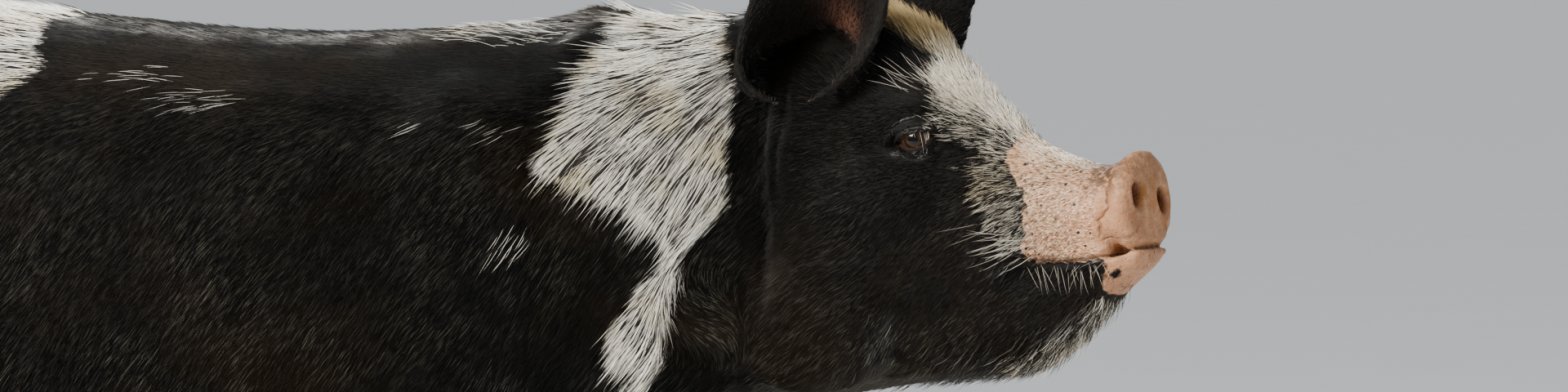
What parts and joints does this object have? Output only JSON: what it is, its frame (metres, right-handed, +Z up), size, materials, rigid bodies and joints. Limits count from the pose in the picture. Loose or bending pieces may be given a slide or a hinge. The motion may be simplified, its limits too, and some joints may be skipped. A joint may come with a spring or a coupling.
{
  "type": "standing pig model",
  "caption": "Life-size still model of a standing pig, head turned to its right, erect ears, black coat with a white shoulder belt, blaze and feet.",
  "frame": {"origin": "on the floor, under the middle of the animal's bounding box", "axes": "+X from the tail to the snout along the body, +Y to the animal's left, +Z up from the floor"},
  "size_m": [1.5408, 0.391, 0.839],
  "materials": {
    "black_coat": "short glossy bristles over dark skin",
    "white_coat": "short white bristles over pale skin",
    "bare_skin": "bare pink skin, slightly moist",
    "horn": "dull hoof horn",
    "eye": "wet and glossy"
  },
  "bodies": {
    "root": {"ear_right": "black_coat", "eye_right": "eye", "foreleg_right_upper": "white_coat", "foreleg_right_lower": "white_coat", "hoof_fore_right_outer": "horn", "dewclaw_fore_right_outer": "horn", "hoof_fore_right_inner": "horn", "dewclaw_fore_right_inner": "horn", "hindleg_right_upper": "black_coat", "hindleg_right_lower": "white_coat", "hoof_hind_right_outer": "horn", "dewclaw_hind_right_outer": "horn", "hoof_hind_right_inner": "horn", "dewclaw_hind_right_inner": "horn", "ear_left": "black_coat", "eye_left": "eye", "foreleg_left_upper": "white_coat", "foreleg_left_lower": "white_coat", "hoof_fore_left_outer": "horn", "dewclaw_fore_left_outer": "horn", "hoof_fore_left_inner": "horn", "dewclaw_fore_left_inner": "horn", "hindleg_left_upper": "black_coat", "hindleg_left_lower": "white_coat", "hoof_hind_left_outer": "horn", "dewclaw_hind_left_outer": "horn", "hoof_hind_left_inner": "horn", "dewclaw_hind_left_inner": "horn", "trunk": "black_coat", "neck": "black_coat", "head": "black_coat", "lower_jaw": "black_coat", "snout_disc": "bare_skin", "tail": "black_coat"}
  },
  "joints": []
}
